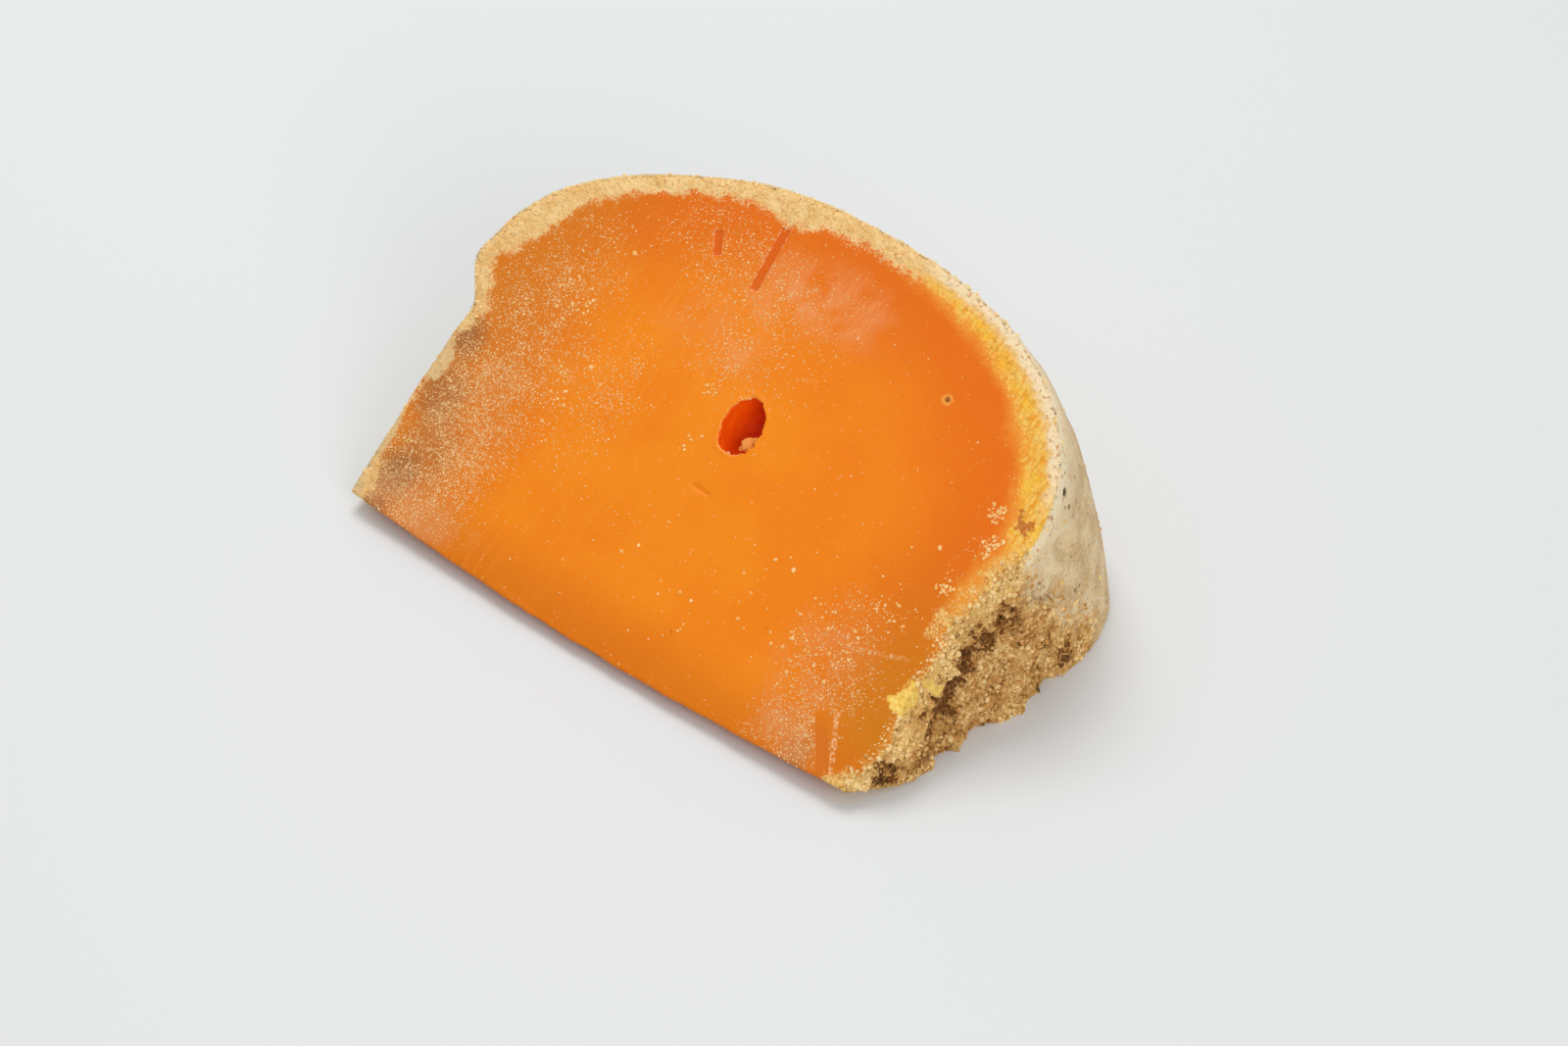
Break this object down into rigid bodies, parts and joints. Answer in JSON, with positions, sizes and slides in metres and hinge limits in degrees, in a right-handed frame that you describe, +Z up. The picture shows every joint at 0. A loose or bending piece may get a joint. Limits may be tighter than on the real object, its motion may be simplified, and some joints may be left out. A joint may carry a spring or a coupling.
{
  "type": "mimolette cheese wedge",
  "caption": "Wedge of aged mimolette cheese: smooth orange cut face with a small gas hole, thin front edge and a rough, pale, partly crumbled rind.",
  "frame": {"origin": "middle of the bounding box in X and Y, on the board that the lower cut lies on", "axes": "+Z up from the board; +X along the thin front edge, towards the crumbled end; +Y from the thin front edge to the rind at the back"},
  "size_m": [0.1768, 0.1226, 0.0724],
  "materials": {
    "paste": "firm, waxy orange cheese paste with fine pale crystals",
    "rind": "dry, pitted, pale tan rind that crumbles"
  },
  "bodies": {
    "root": {"mimolette_wedge": "paste"}
  },
  "joints": []
}
